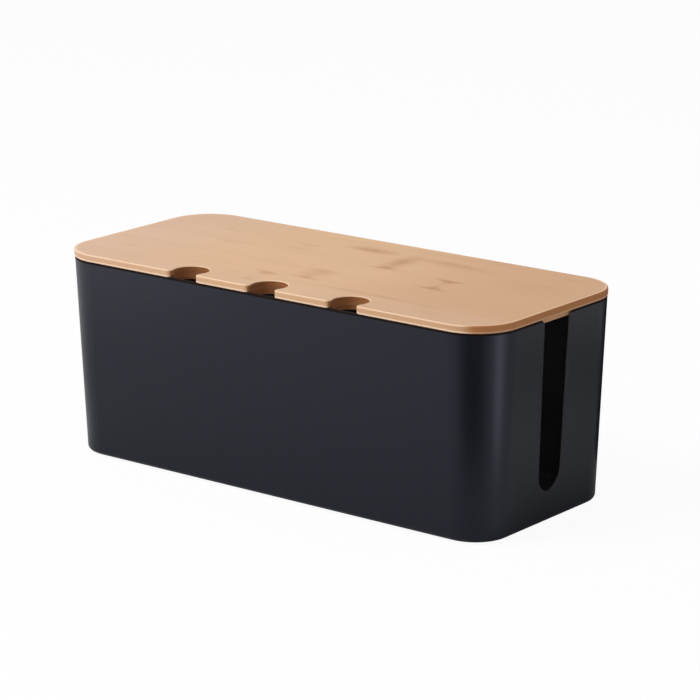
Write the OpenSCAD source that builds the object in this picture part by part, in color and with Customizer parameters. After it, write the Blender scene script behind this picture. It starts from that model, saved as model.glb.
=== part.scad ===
// Cable management box: a drafted moulded box that hides a power strip, with a slot for the mains
// lead in each end, under a loose bamboo lid with notches for charging leads in its front edge.
// X runs along the box, -Y is the front, +Z is up. The origin is under the middle of the box, on
// the surface that its four pads stand on.

/* [Overall size] */
// Length over the lid
length = 320; // [240:1:420]
// Width over the lid, front to back
width = 136; // [110:1:180]
// Height from the surface below to the top of the lid
height = 127; // [90:1:160]
// Radius of the lid's corners, seen from above
corner_r = 27.5; // [22:0.5:36]

/* [Box shell] */
// Thickness of the walls, measured level
wall_t = 2.2; // [1.6:0.1:3]
// Thickness of the floor
floor_t = 2.4; // [1.8:0.1:4]
// Lean of the walls, wider at the top, in degrees
wall_draft = 2.4; // [0.5:0.1:3]
// Radius of the edge between the walls and the underside
base_edge_r = 3; // [1:0.25:5]
// Radius of the inside edge between the walls and the floor
floor_edge_r = 2.5; // [1:0.25:5]
// Radius of the rim's outer edge
rim_edge_r = 0.6; // [0.2:0.1:0.9]
// Lead-in chamfer on the rim's inner edge
rim_lead_in = 0.5; // [0.2:0.1:0.6]
// Diameter of the shallow dimple round the moulding gate, in the middle of the underside
gate_dimple_d = 9; // [6:0.5:14]
// Depth of the gate dimple
gate_dimple_t = 0.5; // [0.3:0.1:0.8]
// Diameter of the gate's trimmed stub
gate_stub_d = 2.6; // [1.5:0.1:4]
// Height of the gate's trimmed stub
gate_stub_t = 0.3; // [0.1:0.1:0.3]

/* [End slots] */
// Width of each slot at the rim, before its mouth flares
slot_w = 27; // [20:0.2:40]
// Lean of the slot's sides, wider at the top, in degrees
slot_draft = 1; // [0:0.1:2]
// Height of the slot's lowest point above the surface below
slot_sill = 18.8; // [10:0.2:40]
// Radius of the slot's two corners at the rim
slot_mouth_r = 4.5; // [2:0.25:8]
// How far a slot's round end and mouth corners reach past the line of its straight sides
slot_blend = 0.01; // [0.01:0.01:0.05]

/* [Lid] */
// Thickness of the lid's edge, above the rim
lid_edge_t = 4.5; // [4:0.1:8]
// Depth of the lip that drops inside the walls
lip_t = 3.5; // [2:0.1:6]
// Gap between the lip and the walls, all round
lip_gap = 0.6; // [0.3:0.1:1.5]
// How far the lid stands out past the rim
lid_overhang = 0.3; // [0:0.1:1.5]
// Radius of the lid's top edges
lid_top_edge_r = 0.8; // [0.4:0.1:1.5]
// Radius of the lid's lower edges
lid_low_edge_r = 0.7; // [0.3:0.1:1.2]
// Radius of the lip's lower edge
lip_edge_r = 0.5; // [0.2:0.1:1]

/* [Cable notches] */
// Number of notches in the lid's front edge
notch_count = 3; // [1:1:3]
// Distance from one notch to the next
notch_pitch = 59.2; // [40:0.1:70]
// Diameter of a notch
notch_d = 21.5; // [14:0.5:26]
// Distance from the lid's front edge to a notch's centre
notch_setback = 8.75; // [7:0.25:10]
// Radius of the two upright corners of a notch's mouth
notch_corner_r = 3; // [1.5:0.1:3.5]
// Width of the narrow flat left between a notch and each upright corner of its mouth
notch_land = 0.05; // [0.02:0.01:0.2]

/* [Foot pads] */
// Diameter of each pad
pad_d = 14; // [8:0.5:20]
// Thickness of each pad
pad_t = 1.8; // [1.4:0.1:3]
// Depth of the round recess that each pad is stuck into
pad_recess_t = 0.8; // [0.4:0.1:1.2]
// Gap round a pad in its recess
pad_gap = 0.3; // [0.1:0.05:0.6]
// Radius of a pad's lower edge
pad_edge_r = 0.5; // [0.2:0.1:0.8]
// Distance from the lid's outline to a pad's centre, along both sides
pad_inset = 26; // [22:0.5:40]

/* [Hidden] */
$fn = 96;
// Reach of a cutter past the face that it opens
past = 1;
// Centres of the corner arcs, which the shell and the lid share
arc_x = length / 2 - corner_r;
arc_y = width / 2 - corner_r;
front_y = -width / 2;
// Heights of the shell's and the lid's faces
base_z = pad_t - pad_recess_t;
floor_z = base_z + floor_t;
rim_z = height - lid_edge_t;
lip_z = rim_z - lip_t;
// Level distance from the corner arc's centre to the shell's outer face at the rim
rim_reach = corner_r - lid_overhang;
// Level distance from the corner arc's centre to the lip's face
lip_reach = rim_reach - wall_t - lip_t * tan(wall_draft) - lip_gap;
// Round end of a slot: the circle that touches the sill and just crosses both leaning sides
slot_end_r = ((slot_w / 2 - (rim_z - slot_sill) * tan(slot_draft)) * cos(slot_draft) + slot_blend)
    / (1 - sin(slot_draft));
slot_end_z = slot_sill + slot_end_r;
// Notch centre, and the centre of the upright corner that touches the front edge and stops a land's
// width short of the notch
notch_r = notch_d / 2;
notch_y = front_y + notch_setback;
notch_corner_reach = notch_r + notch_land + notch_corner_r;
notch_corner_y = front_y + notch_corner_r;
notch_corner_x = sqrt(pow(notch_corner_reach, 2) - pow(notch_setback - notch_corner_r, 2));
notch_xs = [for (i = [0 : notch_count - 1]) (i - (notch_count - 1) / 2) * notch_pitch];
pad_x = length / 2 - pad_inset;
pad_y = width / 2 - pad_inset;
plastic_colour = [0.13, 0.14, 0.16];
bamboo_colour = [0.84, 0.69, 0.54];
silicone_colour = [0.22, 0.22, 0.23];

// Level distance from the corner arc's centre to the shell's outer face at a height
function wall_reach(z) = rim_reach - (rim_z - z) * tan(wall_draft);

// Half section with a leaning side and rounded edges: from the axis out to reach at the low face,
// widening by the lean up to the high face
module flank_section(reach, lean, low, high, low_r, high_r) {
    low_c = [reach + low_r * tan(lean) - low_r / cos(lean), low + low_r];
    high_c = [reach + (high - high_r - low) * tan(lean) - high_r / cos(lean), high - high_r];
    outward = [cos(lean), -sin(lean)];
    polygon([[0, low], [low_c.x, low], low_c + low_r * outward, high_c + high_r * outward,
        [high_c.x, high], [0, high]]);
    translate(low_c) circle(low_r);
    translate(high_c) circle(high_r);
}

// Whole section across the box: a half section at each end of a bar
module across(half, low, high) {
    translate([-half, low]) square([2 * half, high - low]);
    for (side = [0, 1]) mirror([side, 0]) translate([half, 0]) children();
}

// Block with a rounded rectangle as its plan, and a half section as its flank all round
module rounded_block(low, high) {
    for (x = [-arc_x, arc_x], y = [-arc_y, arc_y])
        translate([x, y, 0]) rotate_extrude() children();
    rotate([90, 0, 90]) linear_extrude(2 * arc_x, center = true) across(arc_y, low, high) children();
    rotate([90, 0, 0]) linear_extrude(2 * arc_y, center = true) across(arc_x, low, high) children();
}

// Opening of both slots, seen from the end: a round end, leaning sides and flared mouth corners
module slot_section() {
    side = [cos(slot_draft), -sin(slot_draft)];
    mouth_z = rim_z - slot_mouth_r;
    mouth_reach = slot_mouth_r - slot_blend;
    mouth_x = slot_w / 2 - slot_mouth_r * tan(slot_draft) + mouth_reach / cos(slot_draft);
    low = (slot_end_r - slot_blend) * side + [0, slot_end_z];
    high = [mouth_x, mouth_z] - mouth_reach * side;
    top = rim_z + past;
    difference() {
        polygon([[-low.x, low.y], low, high, [mouth_x, rim_z], [mouth_x, top],
            [-mouth_x, top], [-mouth_x, rim_z], [-high.x, high.y]]);
        for (x = [-mouth_x, mouth_x]) translate([x, mouth_z]) circle(slot_mouth_r);
    }
    translate([0, slot_end_z]) circle(slot_end_r);
}

// Inside of the shell, up past the rim, with the lead-in at the rim
module cavity() {
    top = rim_z + past;
    inner = wall_reach(floor_z) - wall_t;
    edge = wall_reach(rim_z) - wall_t;
    rounded_block(floor_z, top) {
        union() {
            flank_section(inner, wall_draft, floor_z, top, floor_edge_r, rim_edge_r);
            polygon([[0, rim_z - rim_lead_in], [edge - rim_lead_in * tan(wall_draft), rim_z - rim_lead_in],
                [edge + rim_lead_in, rim_z], [edge + rim_lead_in, top], [0, top]]);
        }
    }
}

module box_shell() {
    color(plastic_colour) difference() {
        rounded_block(base_z, rim_z)
            flank_section(wall_reach(base_z), wall_draft, base_z, rim_z, base_edge_r, rim_edge_r);
        cavity();
        rotate([90, 0, 90]) linear_extrude(length + 2 * past, center = true) slot_section();
        for (x = [-pad_x, pad_x], y = [-pad_y, pad_y])
            translate([x, y, base_z - past]) cylinder(h = past + pad_recess_t, r = pad_d / 2 + pad_gap);
        translate([0, 0, base_z - past]) difference() {
            cylinder(h = past + gate_dimple_t, d = gate_dimple_d);
            translate([0, 0, past + gate_dimple_t - gate_stub_t])
                cylinder(h = gate_stub_t + past, d = gate_stub_d);
        }
    }
}

// The board above the rim and the lip below it, before the notches are cut
module lid_blank() {
    lip_top = rim_z + 2 * lid_low_edge_r;
    rounded_block(rim_z, height)
        flank_section(corner_r, 0, rim_z, height, lid_low_edge_r, lid_top_edge_r);
    rounded_block(lip_z, lip_top)
        flank_section(lip_reach, 0, lip_z, lip_top, lip_edge_r, lip_edge_r);
}

// Half section of the room that a notch takes: its own width all through the lid, and a flare at
// the top that leaves the board's edge rounded
module notch_section() {
    edge_c = [notch_r + lid_top_edge_r, height - lid_top_edge_r];
    difference() {
        polygon([[0, lip_z - past], [notch_r, lip_z - past], [notch_r, edge_c.y], edge_c,
            [edge_c.x, height + past], [0, height + past]]);
        translate(edge_c) circle(lid_top_edge_r);
    }
}

// Mouth of a notch: a wedge from its middle to the middles of the two upright corners, and straight
// on past the front edge, less the two corners with their rounded edges
module notch_mouth() {
    before = notch_y - notch_corner_reach;
    difference() {
        translate([0, 0, lip_z - past]) linear_extrude(height - lip_z + 2 * past)
            polygon([[0, notch_y], [notch_corner_x, notch_corner_y], [notch_corner_x, before],
                [-notch_corner_x, before], [-notch_corner_x, notch_corner_y]]);
        for (x = [-notch_corner_x, notch_corner_x]) translate([x, notch_corner_y, 0]) rotate_extrude()
            flank_section(notch_corner_r, 0, rim_z, height, lid_low_edge_r, lid_top_edge_r);
    }
}

module lid() {
    color(bamboo_colour) difference() {
        lid_blank();
        for (x = notch_xs) translate([x, 0, 0]) {
            translate([0, notch_y, 0]) rotate_extrude() notch_section();
            notch_mouth();
        }
    }
}

module foot_pad(x, y) {
    color(silicone_colour) translate([x, y, 0]) rotate_extrude()
        flank_section(pad_d / 2, 0, 0, pad_t, pad_edge_r, pad_gap);
}

module foot_pad_front_left() {
    foot_pad(-pad_x, -pad_y);
}

module foot_pad_front_right() {
    foot_pad(pad_x, -pad_y);
}

module foot_pad_back_left() {
    foot_pad(-pad_x, pad_y);
}

module foot_pad_back_right() {
    foot_pad(pad_x, pad_y);
}

box_shell();
lid();
foot_pad_front_left();
foot_pad_front_right();
foot_pad_back_left();
foot_pad_back_right();
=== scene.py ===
"""Looks of a cable management box: a satin moulded shell, a lacquered bamboo lid with cable
notches, and four silicone pads. Metres, +Z up, -Y is the front edge with the notches."""

import math

import bpy
from mathutils import Matrix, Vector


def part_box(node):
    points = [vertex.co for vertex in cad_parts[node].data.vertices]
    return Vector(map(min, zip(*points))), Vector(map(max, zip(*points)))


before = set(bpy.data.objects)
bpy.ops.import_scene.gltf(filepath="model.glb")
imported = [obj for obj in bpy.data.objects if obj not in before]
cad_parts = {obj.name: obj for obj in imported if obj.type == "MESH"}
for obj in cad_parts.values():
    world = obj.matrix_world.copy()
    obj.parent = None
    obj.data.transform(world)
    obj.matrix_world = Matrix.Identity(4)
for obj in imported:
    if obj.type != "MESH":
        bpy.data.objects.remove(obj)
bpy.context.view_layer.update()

bl_info = {
    "name": "Cable management box",
    "version": (1, 0, 0),
    "blender": (4, 5, 0),
    "location": "3D View > Sidebar > Cable Box",
    "description": "Dresses a cable management box: shell, bamboo lid, pads and stage",
    "category": "Object",
}

MM = 0.001
PADS = sorted(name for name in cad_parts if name.startswith("foot_pad"))
BOX_LOW, BOX_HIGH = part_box("box_shell")
LID_LOW, LID_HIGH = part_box("lid")

# Two numbers in brackets are the ends of a ramp, 0 at the first and 1 at the second. Where a comment
# says so, they are the middle and the reach of a hump.

# ---------------------------------------------------------------- places on the lid

# The notches in metres: their pitch, their radius, and where their axes stand
NOTCH_PITCH = 59.2 * MM
NOTCH_RADIUS = 10.75 * MM
NOTCH_Y = LID_LOW.y + 8.75 * MM
# Distances from a notch's axis, just past its wall and out past the corners of its mouth
NOTCH_WALL = (NOTCH_RADIUS + 0.9 * MM, NOTCH_RADIUS + 0.4 * MM)
NOTCH_MOUTH = (16 * MM, 14 * MM)
# How far a face turns towards either end, from 0 to 1, on the corners of a notch's mouth, and how
# far towards the left end on the part of its wall that is less scorched, as painted light from the left
MOUTH_TURN = (0.6, 0.92)
LEFT_TURN = (-0.3, -1)
# Heights between which the scorch fades in below the top edge of a notch
SCORCH_TOP = (LID_HIGH.z - 0.4 * MM, LID_HIGH.z - 0.85 * MM)

# The rest of the lid is in millimetres. Heights of the board's lower and upper face
BOARD_LOW, BOARD_TOP = BOX_HIGH.z / MM, LID_HIGH.z / MM
# Radius of the board's corners, and how far their middles are from the middle of the board
CORNER_RADIUS = 27.5
CORNER_X = LID_HIGH.x / MM - CORNER_RADIUS
CORNER_Y = LID_HIGH.y / MM - CORNER_RADIUS
# The end grain: where it begins along X, how far a side face there turns towards the right and the
# left end, and how far it turns from the level
END_GRAIN = (122, 130)
# Round the corners of the right end the end grain starts sooner, as painted shade on that side
RIGHT_END_TURN = (0.28, 0.58)
LEFT_END_TURN = (-0.6, -0.9)
SIDE_TURN = (0.12, 0.35)
# The painted highlight line above the end grain: where it begins along X and in height, and its
# middle and reach in from the board's outline
END_HIGHLIGHT = (134, 142)
END_HIGHLIGHT_TOP = (BOARD_TOP - 0.2, BOARD_TOP)
END_HIGHLIGHT_INSET = (1.3, 0.9)
# Heights of the rounded edges, painted paler as highlights, the top one partly as a sanded edge: the
# lower and the upper side of the top one, and the bottom one
TOP_HIGHLIGHT_FOOT = (BOARD_TOP - 0.8, BOARD_TOP - 0.4)
TOP_HIGHLIGHT_END = (BOARD_TOP, BOARD_TOP - 0.1)
BOTTOM_HIGHLIGHT = (BOARD_LOW + 1.4, BOARD_LOW + 1)
# Heights of the lower and the upper side of the darker band along the middle of the edges
MIDDLE_BAND_FOOT = (BOARD_LOW + 0.5, BOARD_LOW + 0.9)
MIDDLE_BAND_TOP = (BOARD_TOP - 0.7, BOARD_TOP - 1.2)
# Places where the bamboo turns to its paler end along X, a painted sheen, to its deeper end along X,
# and to its paler front along Y
PALE_SHEEN_END = (-40, -150)
DEEP_END = (10, 110)
PALE_FRONT = (-30, -60)

# Joints of the culms: number of the strip, counted from the one on the middle line, place along X
# in millimetres, and how dark the joint is at the front seam and at the back seam of its strip
JOINTS = (
    (0, 77.5, 0.95, 1.0), (1, 27, 0.6, 0.15), (-1, 4, 0.5, 0.25), (-2, -20, 0.15, 0.5),
    (1, -43, 0.05, 0.25), (0, -88, 0.05, 0.2), (-1, -131, 0.16, 0.05), (-2, 108, 0.2, 0.05),
    (2, 131, 0.05, 0.15), (2, -112, 0.15, 0.05),
)
# A joint reaches this far along X at the middle of its strip, this much further at the seams, and
# wanders this far, all in millimetres
JOINT_NECK = 3
JOINT_FLARE = 17
JOINT_WANDER = 6
# Middle and reach of a joint's bars, with the middle of its strip at 0 and its seams at 1
JOINT_BARS = (0.8, 0.5)
# Where the dark line of a seam begins, with the middle of the strip at 0 and its seams at 0.5
SEAM = (0.491, 0.5)
# Soft stains: place along X and across, reach along X and across, all in millimetres, and how dark
STAINS = (
    (-6, 45, 26, 8, 0.9), (54, 44, 38, 8, 0.6), (26.5, 30, 11, 30, 0.72), (4, -21, 16, 17, 0.4),
    (-20, -38, 11, 6, 0.3), (-21, -53, 9, 6, 0.26), (-44, 22, 14, 5, 0.24), (62, -42, 62, 4, 0.4),
    (50, 60, 85, 10, 0.16), (130, 25, 40, 26, 0.14), (-88, 14, 6, 4, 0.14), (100, -44, 13, 3, 0.16),
)

# ---------------------------------------------------------------- places on the shell, in metres

# Sum of a wall's place times its direction, along X and along Y: above 0 outside, below 0 inside
INWARD = (1 * MM, -1 * MM)
# How far a face turns up to be the floor inside
LEVEL_TURN = (0.5, 0.9)
# Heights between which the floor inside, the worn foot and the painted shadow on the rim begin
FLOOR_TOP = (20 * MM, 10 * MM)
WORN_FOOT = (BOX_LOW.z + 3.5 * MM, BOX_LOW.z + 0.5 * MM)
RIM_SHADOW = (BOX_HIGH.z - 1.55 * MM, BOX_HIGH.z - 1.1 * MM)

# ---------------------------------------------------------------- places on the stage, in metres

# Distances from the box over which its shadow ends in a gloss, and over which its foot shades the floor
SHADOW_END = (0.5, 1.1)
FOOT_SHADE = (0.3, 0)
# Distances past the ends of the box over which the shade of the ends takes over, and its middle
# and reach
PAST_END = (0, 0.03)
END_SHADE = (0.17, 0.15)
# Upright cards that show only in a gloss: middle of the foot, width and height, how far the card
# is turned from facing the front of the box, in degrees, and its brightness at the foot and top
CARDS = {
    "stage_card_corner_dark": ((0.2, -0.17), (0.15, 0.2), 31, (0.0, 0.45)),
    "stage_card_corner_light": ((0.2825, -0.0405), (0.05, 0.2), 90, (3.0, 3.0)),
    "stage_card_left_light": ((-0.36, -0.32), (0.2, 0.1), -38, (2.0, 2.0)),
    "stage_card_right_dark": ((0.32, 0.19), (0.3, 0.065), 141, (0.0, 0.9)),
    "stage_card_edge_dark": ((0.15, 0.123), (0.06, 0.13), 10, (0.0, 0.0)),
}
# The cards stand this far above the floor, and the floor this far under the pads
CARD_LIFT = 1 * MM
FLOOR_DROP = 0.05 * MM
# Where the key lamp hangs, its width and height, and the point that it looks at
KEY_PLACE = (-0.75, -1.1, 1.75)
KEY_SIZE = (1.2, 1.2)
KEY_AIM = (0, 0, 0.06)
# Width of what the lens draws its picture on, in millimetres
SENSOR_WIDTH = 36


# ---------------------------------------------------------------- shader expressions

class Level:
    """A number that changes over a surface, held as a node's output socket. Arithmetic on it adds
    Math nodes to its finish."""

    def __init__(self, finish, socket):
        self.finish = finish
        self.socket = socket

    def __add__(self, other):
        return self.finish.math("ADD", self, other)

    def __radd__(self, other):
        return self.finish.math("ADD", other, self)

    def __sub__(self, other):
        return self.finish.math("SUBTRACT", self, other)

    def __rsub__(self, other):
        return self.finish.math("SUBTRACT", other, self)

    def __mul__(self, other):
        return self.finish.math("MULTIPLY", self, other)

    def __rmul__(self, other):
        return self.finish.math("MULTIPLY", other, self)

    def __truediv__(self, other):
        return self.finish.math("DIVIDE", self, other)

    def __rtruediv__(self, other):
        return self.finish.math("DIVIDE", other, self)

    def __pow__(self, other):
        return self.finish.math("POWER", self, other)

    def __abs__(self):
        return self.finish.math("ABSOLUTE", self)

    def floor(self):
        return self.finish.math("FLOOR", self)

    def least(self, other):
        return self.finish.math("MINIMUM", self, other)

    def most(self, other):
        return self.finish.math("MAXIMUM", self, other)

    def ramp(self, start, end):
        """0 at start, 1 at end, smooth between them, and held outside. start may be above end."""
        spread = self.finish.node(
            "ShaderNodeMapRange", {"interpolation_type": "SMOOTHSTEP", "clamp": True},
            {"Value": self, "From Min": min(start, end), "From Max": max(start, end),
             "To Min": float(start > end), "To Max": float(start < end)})
        return Level(self.finish, spread.outputs["Result"])

    def hump(self, middle, reach):
        """1 at the middle, falling smoothly to 0 a reach away on both sides."""
        return abs(self - middle).ramp(reach, 0)


class Finish:
    """The shader nodes of a material or a world, while they are being put together."""

    def __init__(self, owner):
        owner.use_nodes = True
        self.owner = owner
        self.tree = owner.node_tree
        self.tree.nodes.clear()

    def node(self, kind, settings=None, inputs=None):
        """Adds a node. Its settings are set first, then the values or links of its sockets, named
        by socket name, identifier or number."""
        made = self.tree.nodes.new(kind)
        for name, value in (settings or {}).items():
            setattr(made, name, value)
        for name, value in (inputs or {}).items():
            self.feed(self.socket(made, name), value)
        return made

    def socket(self, node, name):
        if isinstance(name, int):
            return node.inputs[name]
        return next(s for s in node.inputs if s.enabled and name in (s.identifier, s.name))

    def feed(self, socket, value):
        if isinstance(value, Level):
            value = value.socket
        if isinstance(value, bpy.types.NodeSocket):
            self.tree.links.new(value, socket)
        elif socket.type == "RGBA" and len(value) == 3:
            socket.default_value = (*value, 1)
        else:
            socket.default_value = value

    def math(self, operation, *values):
        made = self.node("ShaderNodeMath", {"operation": operation}, dict(enumerate(values)))
        return Level(self, made.outputs[0])

    def place(self, scale=(1, 1, 1)):
        """Object coordinates in metres, scaled, as a vector socket."""
        where = self.node("ShaderNodeTexCoord").outputs["Object"]
        scaled = self.node("ShaderNodeMapping", {"vector_type": "POINT"},
                           {"Vector": where, "Scale": scale})
        return scaled.outputs["Vector"]

    def parts(self, vector):
        """The three numbers of a vector socket."""
        split = self.node("ShaderNodeSeparateXYZ", inputs={"Vector": vector})
        return [Level(self, output) for output in split.outputs]

    def facing(self):
        """The three numbers of the way that the surface faces, from -1 to 1 each."""
        return self.parts(self.node("ShaderNodeTexCoord").outputs["Normal"])

    def join(self, x, y, z):
        """A vector socket out of three numbers."""
        return self.node("ShaderNodeCombineXYZ", inputs={0: x, 1: y, 2: z}).outputs[0]

    def noise(self, where, scale=1.0, detail=2.0, roughness=0.5):
        """Soft noise, about 0 to 1, over a vector socket."""
        made = self.node("ShaderNodeTexNoise", {"noise_dimensions": "3D"},
                         {"Vector": where, "Scale": scale, "Detail": detail, "Roughness": roughness})
        return Level(self, made.outputs["Fac"])

    def chance(self, number):
        """A number from 0 to 1 that is fixed for each whole number."""
        made = self.node("ShaderNodeTexWhiteNoise", {"noise_dimensions": "1D"}, {"W": number})
        return Level(self, made.outputs["Value"])

    def mix(self, factor, low, high):
        """A colour between two: the first where the factor is 0, and the other where it is 1."""
        made = self.node("ShaderNodeMix", {"data_type": "RGBA", "blend_type": "MIX"},
                         {"Factor_Float": factor, "A_Color": low, "B_Color": high})
        return next(s for s in made.outputs if s.enabled)

    def bump(self, height, distance):
        """The way that a surface faces, if it rises by the distance as the height goes from 0 to 1."""
        made = self.node("ShaderNodeBump", inputs={"Height": height, "Distance": distance})
        return made.outputs["Normal"]

    def coat(self, **inputs):
        """A surface shader. Underscores stand for the spaces in the names of its sockets."""
        made = self.node("ShaderNodeBsdfPrincipled",
                         inputs={name.replace("_", " "): value for name, value in inputs.items()})
        return made.outputs[0]

    def blend(self, factor, low, high):
        """One shader where the factor is 0, and the other where it is 1."""
        return self.node("ShaderNodeMixShader", inputs={0: factor, 1: low, 2: high}).outputs[0]

    def close(self, shader):
        """Ends the nodes with their shader and gives back what they belong to."""
        kind = "World" if isinstance(self.owner, bpy.types.World) else "Material"
        self.node("ShaderNodeOutput" + kind, inputs={"Surface": shader})
        return self.owner


def new_finish(name):
    return Finish(bpy.data.materials.new(name))


def dress(names, material):
    """Puts a material on carried-over nodes in place of their plain one."""
    for name in names:
        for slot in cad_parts[name].material_slots:
            slot.material = material


def paler(colour, times):
    return [channel * times for channel in colour]


# ---------------------------------------------------------------- settings

def length_setting(name, description, default):
    return bpy.props.FloatProperty(name=name, description=description, default=default,
                                   subtype="DISTANCE", unit="LENGTH")


def colour_setting(name, description, default):
    return bpy.props.FloatVectorProperty(name=name, description=description, default=default,
                                         size=3, min=0, max=1, subtype="COLOR")


def share_setting(name, description, default):
    return bpy.props.FloatProperty(name=name, description=description, default=default,
                                   min=0, max=1, subtype="FACTOR")


class BambooSettings(bpy.types.PropertyGroup):
    """Lacquered bamboo of the lid."""
    strip_width: length_setting("Strip width", "Width of one glued strip of bamboo", 23 * MM)
    body_colour: colour_setting("Bamboo", "Colour of the flesh of the bamboo", (0.665, 0.397, 0.198))
    # Paler end: a painted sheen on the left end; the front is also mixed towards this colour
    pale_sheen_colour: colour_setting("Paler end", "Colour towards the left end", (0.635, 0.405, 0.268))
    deep_colour: colour_setting("Deeper end", "Colour towards the right end", (0.58, 0.318, 0.148))
    # Painted highlight on the rounded edges and on the line above the end grain, partly a sanded edge
    # on top
    edge_highlight_colour: colour_setting("Eased edge", "Colour where the edges are sanded round",
                                (0.85, 0.6, 0.41))
    fibre_colour: colour_setting("Fibre", "Colour of the darker fibres", (0.53, 0.285, 0.13))
    joint_colour: colour_setting("Joint", "Colour of the joints of the culm", (0.42, 0.175, 0.055))
    end_colour: colour_setting("End grain", "Colour where the fibres are cut across",
                               (0.43, 0.165, 0.045))
    scorch_colour: colour_setting("Scorched cut", "Colour of the walls of the notches",
                                  (0.29, 0.085, 0.02))
    roughness: share_setting("Roughness", "Roughness of the lacquer", 0.45)
    gloss: share_setting("Gloss", "Strength of the shine of the lacquer", 0.35)


class PlasticSettings(bpy.types.PropertyGroup):
    """Satin moulded plastic of the shell."""
    colour: colour_setting("Plastic", "Colour of the moulded plastic", (0.0054, 0.0059, 0.0105))
    gloss_tint: colour_setting("Gloss tint", "Colour of the shine seen straight on", (0.77, 0.83, 1))
    roughness: share_setting("Roughness", "Roughness of the satin face", 0.36)
    gloss: share_setting("Gloss", "Strength of the shine of the satin face", 0.31)
    # The rim: painted shadow of the lid, tinted brown as a painted reflection of the bamboo
    rim_shadow_colour: colour_setting("Rim", "Colour of the rim, which dust and the lid keep dull",
                               (0.013, 0.007, 0.005))
    # Inside: matt plastic, painted much lighter as painted light on the inner faces and the sides of
    # the slots
    inside_matt_and_painted_light: colour_setting("Inside", "Colour of the matt inner faces", (0.086, 0.085, 0.091))
    grain: length_setting("Grain", "Size of the fine moulded grain", 0.4 * MM)


class SiliconeSettings(bpy.types.PropertyGroup):
    """Soft silicone of the pads."""
    colour: colour_setting("Silicone", "Colour of the pads", (0.04, 0.04, 0.042))
    roughness: share_setting("Roughness", "Roughness of the pads", 0.62)


class StageSettings(bpy.types.PropertyGroup):
    """Camera, floor and lamps."""
    camera_place: bpy.props.FloatVectorProperty(
        name="Camera place", description="Where the camera stands", size=3, subtype="TRANSLATION",
        unit="LENGTH", default=(1.08988, -1.36309, 0.54672))
    camera_yaw: bpy.props.FloatProperty(
        name="Camera yaw", description="Turn of the camera about the vertical", subtype="ANGLE",
        default=math.radians(38.3426))
    camera_pitch: bpy.props.FloatProperty(
        name="Camera pitch", description="How far the camera looks down", subtype="ANGLE",
        default=math.radians(15.1025))
    camera_roll: bpy.props.FloatProperty(
        name="Camera roll", description="Turn of the camera about its line of sight",
        subtype="ANGLE", default=math.radians(-0.1555))
    camera_lens: bpy.props.FloatProperty(
        name="Lens", description="Focal length in millimetres", default=157.416, unit="CAMERA")
    floor_size: length_setting("Floor size", "Side of the square floor", 12.0)
    floor_colour: colour_setting("Floor", "Colour of the floor", (0.9, 0.9, 0.9))
    floor_glow: share_setting("Floor glow", "Share of plain white in what the camera sees", 0.94)
    foot_shade: share_setting("Foot shade", "How much darker a gloss sees the floor at the foot of "
                              "the box", 0.2)
    end_shade: share_setting("End shade", "How much darker a gloss sees the floor a hand's breadth "
                             "past the ends of the box", 0.3)
    sky_light: share_setting("Sky light", "Strength of the even light from all round", 0.4)
    key_power: bpy.props.FloatProperty(name="Key lamp", description="Power of the large lamp",
                                       default=36, min=0, unit="POWER")


# ---------------------------------------------------------------- finishes

def streaks(finish, spot, along, across, shift=0.0, **kind):
    """Soft noise drawn out along X. It is read at x times along, at y times across plus a shift, so
    that no two strips match, and at z times across. The spot is x, y and z in millimetres."""
    x, y, z = spot
    return finish.noise(finish.join(x * along, y * across + shift, z * across), **kind)


def joint_marks(finish, spot, lane, strip):
    """Joints of the culms, 0 to 1. Each crosses its strip as a faint neck between two soft bars,
    one beside each seam. A joint's reach along X is its neck plus its flare times the cube of how
    far the point lies from the middle of the strip."""
    x, y, z = spot
    side = (lane - strip - 0.5) * 2
    across = abs(side)
    wander = (finish.noise(finish.join(y * 0.2, z * 0.2, strip * 3.1)) - 0.5) * JOINT_WANDER
    blur = (streaks(finish, spot, 0.25, 0.4) - 0.5) * 0.6
    reach = across ** 3 * JOINT_FLARE + JOINT_NECK
    bars = across.hump(*JOINT_BARS) * 0.7 + 0.3
    marks = 0.0
    for number, place, front, back in JOINTS:
        strength = side.ramp(-0.5, 0.5) * (back - front) + front
        off = (x - place + wander) / reach + blur
        marks = off.hump(0, 1) * strip.hump(number, 0.5) * strength + marks
    return marks * bars


def stain_marks(finish, x, y):
    """Soft oval stains that run with the fibres or across them, 0 to 1. Each fades with the square
    root of the two squares of how far a point lies from its middle, as shares of its reaches."""
    uneven = finish.noise(finish.join(x * 0.05, y * 0.3, 0.0), detail=3.0) * 1.2 + 0.4
    marks = 0.0
    for place_x, place_y, reach_x, reach_y, strength in STAINS:
        off = (((x - place_x) / reach_x) ** 2 + ((y - place_y) / reach_y) ** 2) ** 0.5
        marks = off.ramp(1, 0) * strength + marks
    return marks * uneven


def notch_cut(finish):
    """1 on the walls of the round notches and on the corners that turn into them, and 0 from their
    rounded top edge up. Walls that face the left end are less scorched, as painted light from the
    left. The distance to the nearest notch's axis is the square root of the two squares."""
    x, y, z = finish.parts(finish.place())
    from_axis = x - (x / NOTCH_PITCH + 0.5).floor().least(1).most(-1) * NOTCH_PITCH
    reach = (from_axis ** 2 + (y - NOTCH_Y) ** 2) ** 0.5
    facing_x = finish.facing()[0]
    turned = abs(facing_x).ramp(*MOUTH_TURN) * reach.ramp(*NOTCH_MOUTH)
    painted_light = facing_x.ramp(*LEFT_TURN) * 0.5
    return reach.ramp(*NOTCH_WALL).most(turned) * z.ramp(*SCORCH_TOP) * (1 - painted_light)


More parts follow.
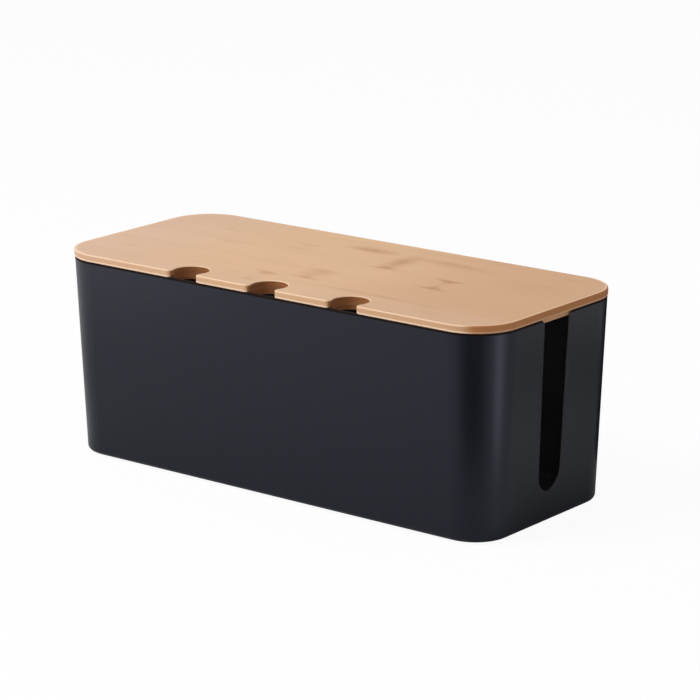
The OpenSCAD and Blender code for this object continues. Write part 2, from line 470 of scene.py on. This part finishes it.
def board_inset(x, y):
    """How far inside the board's outline a point of its end lies, in millimetres: the radius of the
    corners, less the length of what x and y reach past the middles of the corners."""
    past_x = (abs(x) - CORNER_X).most(0)
    past_y = (abs(y) - CORNER_Y).most(0)
    return CORNER_RADIUS - (past_x ** 2 + past_y ** 2) ** 0.5


def board_end(finish, x):
    """1 on the short ends of the board and on the nearest part of its corners, where the fibres are
    cut across, and 0 elsewhere, such as in the mouths of the notches. It starts sooner round the
    corners of the right end, as painted shade there. The small number keeps the level faces from
    dividing by 0."""
    facing_x, facing_y = finish.facing()[:2]
    steep = (facing_x ** 2 + facing_y ** 2) ** 0.5
    turn = facing_x / (steep + 0.001)
    lengthways = turn.ramp(*RIGHT_END_TURN).most(turn.ramp(*LEFT_END_TURN))
    return lengthways * steep.ramp(*SIDE_TURN) * abs(x).ramp(*END_GRAIN)


def bamboo_finish(look):
    """Strips of bamboo glued side by side along X. Each has its own tint and fibres, and the joints
    of its culm cross it as soft brown marks. The top is paler at the left end as a painted sheen. The
    board's edges are darker along their middle and painted paler at their rounds as highlights,
    partly as sanded edges. Its cut ends are darker still, and the notches are scorched, with painted
    light on the walls that face the left end."""
    finish = new_finish("lid_bamboo_lacquered")
    x, y, z = spot = finish.parts(finish.place((1 / MM, 1 / MM, 1 / MM)))
    lane = y / (look.strip_width / MM) + 0.5
    strip = lane.floor()
    luck = finish.chance(strip + 3.5)
    ends = board_end(finish, x)
    scorched = notch_cut(finish)

    fibres = streaks(finish, spot, 0.02, 1.4, luck * 90, detail=3.0, roughness=0.6)
    flecks = streaks(finish, spot, 0.11, 5.5, luck * 40).ramp(0.6, 0.75)
    cloud = streaks(finish, spot, 0.016, 0.06, luck * 7, detail=3.0)
    pores = streaks(finish, spot, 0.05, 2.2, detail=1.0).ramp(0.4, 0.75)
    joints = joint_marks(finish, spot, lane, strip)
    stains = stain_marks(finish, x, y)
    seam = abs(lane - strip - 0.5).ramp(*SEAM)

    # The flesh: its tint from end to end, paler at the left as a painted sheen, its fibres, its marks
    # and its seams
    ground = finish.mix(x.ramp(*PALE_SHEEN_END) * 0.9, look.body_colour, look.pale_sheen_colour)
    ground = finish.mix(x.ramp(*DEEP_END), ground, look.deep_colour)
    ground = finish.mix(y.ramp(*PALE_FRONT) * 0.5, ground, look.pale_sheen_colour)
    tone = (fibres - 0.5) * 0.5 + (luck - 0.5) * 0.14 + (cloud - 0.5) * 0.7 + 0.08 + flecks * 0.12
    colour = finish.mix(tone, ground, look.fibre_colour)
    colour = finish.mix((joints + stains).least(1) * 0.85, colour, look.joint_colour)
    colour = finish.mix(seam * 0.16, colour, look.joint_colour)

    # The edges: the darker middle band, the end grain, and the rounded edges painted paler as
    # highlights, partly as sanded edges
    middle_band = z.ramp(*MIDDLE_BAND_FOOT) * z.ramp(*MIDDLE_BAND_TOP)
    colour = finish.mix(middle_band * 0.25, colour, look.fibre_colour)
    grain = finish.mix(pores * 0.3, look.end_colour, look.joint_colour)
    colour = finish.mix(ends, colour, grain)
    top_highlight = z.ramp(*TOP_HIGHLIGHT_FOOT) * z.ramp(*TOP_HIGHLIGHT_END) * (1 - ends) * 0.8
    bottom_highlight = z.ramp(*BOTTOM_HIGHLIGHT) * (1 - ends * 0.7)
    end_highlight = board_inset(x, y).hump(*END_HIGHLIGHT_INSET) * abs(x).ramp(*END_HIGHLIGHT)
    end_highlight = end_highlight * z.ramp(*END_HIGHLIGHT_TOP) * 0.6
    colour = finish.mix((top_highlight + bottom_highlight + end_highlight).least(1), colour, look.edge_highlight_colour)

    # The notches
    layers = finish.noise(finish.join(x * 0.05, y * 0.05, z * 1.6)).ramp(0.35, 0.65)
    scorch = finish.mix(layers * 0.75, look.scorch_colour, look.end_colour)
    colour = finish.mix(scorched * 0.92, colour, scorch)

    height = fibres * 0.7 - flecks * 0.3 + joints * 0.5 - seam
    dull = scorched.most(ends)
    return finish.close(finish.coat(
        Base_Color=colour, Specular_IOR_Level=look.gloss,
        Roughness=look.roughness + (fibres - 0.5) * 0.14 + joints * 0.05 + dull * 0.25,
        Normal=finish.bump(height, 0.03 * MM)))


def plastic_finish(look):
    """Satin plastic with a fine moulded grain and faint clouds in its gloss. Its lowest edge is a
    little lighter from handling. Its inside, with the sides of the slots, is left matt and painted
    lighter, partly as painted light. The rounded rim under the lid is painted dull and dark as the
    lid's shadow, tinted brown as a painted reflection of the bamboo."""
    finish = new_finish("shell_plastic_satin")
    metres = finish.place()
    grain = finish.noise(metres, 1 / look.grain, detail=1.0)
    cloud = finish.noise(metres, 14.0, detail=3.0, roughness=0.55)
    scuff = finish.noise(finish.place((1, 1, 0.35)), 260.0, roughness=0.6).ramp(0.62, 0.8)
    x, y, z = finish.parts(metres)
    facing_x, facing_y, facing_z = finish.facing()
    wall = (facing_x * x + facing_y * y).ramp(*INWARD)
    inside = wall.most(facing_z.ramp(*LEVEL_TURN) * z.ramp(*FLOOR_TOP))
    worn = z.ramp(*WORN_FOOT) * (0.35 + scuff * 0.65)
    colour = finish.mix(worn * 0.3, look.colour, paler(look.colour, 2.5))
    # The inside is painted lighter, partly as painted light
    colour = finish.mix(inside, colour, look.inside_matt_and_painted_light)
    satin = finish.coat(
        Base_Color=colour, Specular_IOR_Level=look.gloss, Specular_Tint=(*look.gloss_tint, 1),
        Roughness=look.roughness + (cloud - 0.5) * 0.05 + scuff * 0.03 + inside * 0.25,
        Normal=finish.bump(grain, 0.01 * MM))
    # The rim under the lid: painted shadow, tinted brown as a painted reflection of the bamboo
    dull = finish.coat(Base_Color=look.rim_shadow_colour, Roughness=0.8, Specular_IOR_Level=0.02)
    return finish.close(finish.blend(z.ramp(*RIM_SHADOW) * (0.9 + scuff * 0.1), satin, dull))


def silicone_finish(look):
    """Soft matt silicone with dust caught in its face."""
    finish = new_finish("pad_silicone_matt")
    metres = finish.place()
    grain = finish.noise(metres, 2500.0, roughness=0.6)
    dust = finish.noise(metres, 420.0, detail=3.0, roughness=0.6).ramp(0.5, 0.8)
    colour = finish.mix(dust * 0.25, look.colour, paler(look.colour, 2.6))
    return finish.close(finish.coat(Base_Color=colour, Roughness=look.roughness + dust * 0.1,
                                    Normal=finish.bump(grain, 0.02 * MM)))


def ray_kinds(finish):
    """How a ray came: 1 or 0 for the camera, for a gloss and for glass."""
    path = finish.node("ShaderNodeLightPath").outputs
    return [Level(finish, path[name]) for name in (
        "Is Camera Ray", "Is Glossy Ray", "Is Transmission Ray")]


def floor_finish(look):
    """Pale floor. What the camera and glass see of it is nearly plain white, and so is what a gloss
    sees of it away from the box. The rest is lit, so that the shadow of the box stays, and a gloss
    sees it deeper round the foot of the box and past its ends. The distance from the box is the
    square root of the two squares."""
    finish = new_finish("stage_floor")
    camera, glossy, through = ray_kinds(finish)
    x, y = finish.parts(finish.place())[:2]
    past_x = abs(x) - BOX_HIGH.x
    away = (past_x.most(0) ** 2 + (abs(y) - BOX_HIGH.y).most(0) ** 2) ** 0.5
    share = camera.most(through).most(glossy * away.ramp(*SHADOW_END)) * look.floor_glow
    lit = finish.node("ShaderNodeBsdfDiffuse", inputs={"Color": look.floor_colour}).outputs[0]
    glow, dark = (finish.node("ShaderNodeEmission", inputs={"Color": (level,) * 3}).outputs[0]
                  for level in (1, 0))
    past_end = past_x.ramp(*PAST_END)
    foot_shade = away.ramp(*FOOT_SHADE) * look.foot_shade * (1 - past_end)
    shade = glossy * (foot_shade + away.hump(*END_SHADE) * look.end_shade * past_end)
    return finish.close(finish.blend(shade, finish.blend(share, lit, glow), dark))


def card_finish(name, height, levels):
    """Light from a card, which goes from one strength at its foot to another at its top."""
    finish = new_finish(name)
    z = finish.parts(finish.place())[2]
    foot, top = (finish.node("ShaderNodeEmission", inputs={"Strength": level}).outputs[0]
                 for level in levels)
    return finish.close(finish.blend(z.ramp(0, height), foot, top))


def sky_finish(world, look):
    """Plain white where it is seen, and a weaker even light on everything else."""
    finish = Finish(world)
    camera, glossy, through = ray_kinds(finish)
    strength = camera.most(glossy).most(through) * (1 - look.sky_light) + look.sky_light
    sky = finish.node("ShaderNodeBackground", inputs={"Color": (1, 1, 1), "Strength": strength})
    return finish.close(sky.outputs[0])


# ---------------------------------------------------------------- operators

class DressShell(bpy.types.Operator):
    """Gives the moulded shell its satin plastic"""
    bl_idname = "cable_box.dress_shell"
    bl_label = "Shell"

    def execute(self, context):
        dress(["box_shell"], plastic_finish(context.scene.cable_box_plastic))
        return {"FINISHED"}


class DressLid(bpy.types.Operator):
    """Gives the lid its lacquered bamboo"""
    bl_idname = "cable_box.dress_lid"
    bl_label = "Bamboo lid"

    def execute(self, context):
        dress(["lid"], bamboo_finish(context.scene.cable_box_bamboo))
        return {"FINISHED"}


class DressPads(bpy.types.Operator):
    """Gives the four pads their silicone"""
    bl_idname = "cable_box.dress_pads"
    bl_label = "Foot pads"

    def execute(self, context):
        dress(PADS, silicone_finish(context.scene.cable_box_silicone))
        return {"FINISHED"}


def add_object(context, name, data):
    made = bpy.data.objects.new(name, data)
    context.scene.collection.objects.link(made)
    return made


def add_lamp(context, name, place, size, power, aim):
    """A rectangular lamp that looks at a point: turned about the vertical to face it, and tilted
    by the angle between the vertical and the line to it."""
    data = bpy.data.lights.new(name, "AREA")
    data.shape = "RECTANGLE"
    data.size, data.size_y = size
    data.energy = power
    lamp = add_object(context, name, data)
    x, y, z = (there - here for there, here in zip(place, aim))
    lamp.matrix_world = (Matrix.Translation(place)
                         @ Matrix.Rotation(math.atan2(x, -y), 4, "Z")
                         @ Matrix.Rotation(math.atan2(math.hypot(x, y), z), 4, "X"))


def add_sheet(context, name, corners, material):
    """A flat sheet with four corners."""
    mesh = bpy.data.meshes.new(name)
    mesh.from_pydata(corners, [], [(0, 1, 2, 3)])
    mesh.materials.append(material)
    return add_object(context, name, mesh)


def add_card(context, name, foot, size, turn, levels):
    """An upright rectangle on the floor, seen by nothing but glossy rays."""
    half, height = size[0] / 2, size[1]
    corners = [(-half, 0, 0), (half, 0, 0), (half, 0, height), (-half, 0, height)]
    card = add_sheet(context, name, corners, card_finish(name, height, levels))
    card.matrix_world = (Matrix.Translation((*foot, CARD_LIFT))
                         @ Matrix.Rotation(math.radians(turn), 4, "Z"))
    card.visible_camera = False
    card.visible_diffuse = False
    card.visible_shadow = False
    card.visible_transmission = False


class SetStage(bpy.types.Operator):
    """Sets up the floor, the sky light, the lamp, the cards and the camera"""
    bl_idname = "cable_box.set_stage"
    bl_label = "Stage"

    def execute(self, context):
        look = context.scene.cable_box_stage
        self.lay_floor(context, look)
        context.scene.world = sky_finish(bpy.data.worlds.new("stage_sky"), look)
        add_lamp(context, "lamp_key", KEY_PLACE, KEY_SIZE, look.key_power, KEY_AIM)
        for name, (foot, size, turn, levels) in CARDS.items():
            add_card(context, name, foot, size, turn, levels)
        self.place_camera(context, look)
        context.scene.view_settings.view_transform = "Standard"
        return {"FINISHED"}

    def lay_floor(self, context, look):
        half = look.floor_size / 2
        corners = [(x, y, -FLOOR_DROP) for x, y in (
            (-half, -half), (half, -half), (half, half), (-half, half))]
        add_sheet(context, "stage_floor", corners, floor_finish(look))

    def place_camera(self, context, look):
        data = bpy.data.cameras.new("stage_camera")
        data.sensor_width = SENSOR_WIDTH
        data.lens = look.camera_lens
        camera = add_object(context, "stage_camera", data)
        camera.matrix_world = (Matrix.Translation(look.camera_place)
                               @ Matrix.Rotation(look.camera_yaw, 4, "Z")
                               @ Matrix.Rotation(math.pi / 2 - look.camera_pitch, 4, "X")
                               @ Matrix.Rotation(look.camera_roll, 4, "Z"))
        context.scene.camera = camera


class CableBoxPanel(bpy.types.Panel):
    """Lists the pieces of the box and their settings"""
    bl_idname = "VIEW3D_PT_cable_box"
    bl_label = "Cable management box"
    bl_space_type = "VIEW_3D"
    bl_region_type = "UI"
    bl_category = "Cable Box"

    def draw(self, context):
        for operator, group in STEPS:
            box = self.layout.box()
            box.operator(operator.bl_idname)
            settings = getattr(context.scene, group)
            for name in settings.bl_rna.properties.keys():
                if name not in ("rna_type", "name"):
                    box.prop(settings, name)


GROUPS = {
    "cable_box_plastic": PlasticSettings,
    "cable_box_bamboo": BambooSettings,
    "cable_box_silicone": SiliconeSettings,
    "cable_box_stage": StageSettings,
}
STEPS = (
    (DressShell, "cable_box_plastic"),
    (DressLid, "cable_box_bamboo"),
    (DressPads, "cable_box_silicone"),
    (SetStage, "cable_box_stage"),
)
CLASSES = (*GROUPS.values(), *(operator for operator, group in STEPS), CableBoxPanel)


def register():
    for cls in CLASSES:
        bpy.utils.register_class(cls)
    for name, group in GROUPS.items():
        setattr(bpy.types.Scene, name, bpy.props.PointerProperty(type=group))


def unregister():
    for name in GROUPS:
        delattr(bpy.types.Scene, name)
    for cls in reversed(CLASSES):
        bpy.utils.unregister_class(cls)


def main():
    register()
    bpy.ops.cable_box.dress_shell()
    bpy.ops.cable_box.dress_lid()
    bpy.ops.cable_box.dress_pads()
    bpy.ops.cable_box.set_stage()


if __name__ == "__main__":
    main()
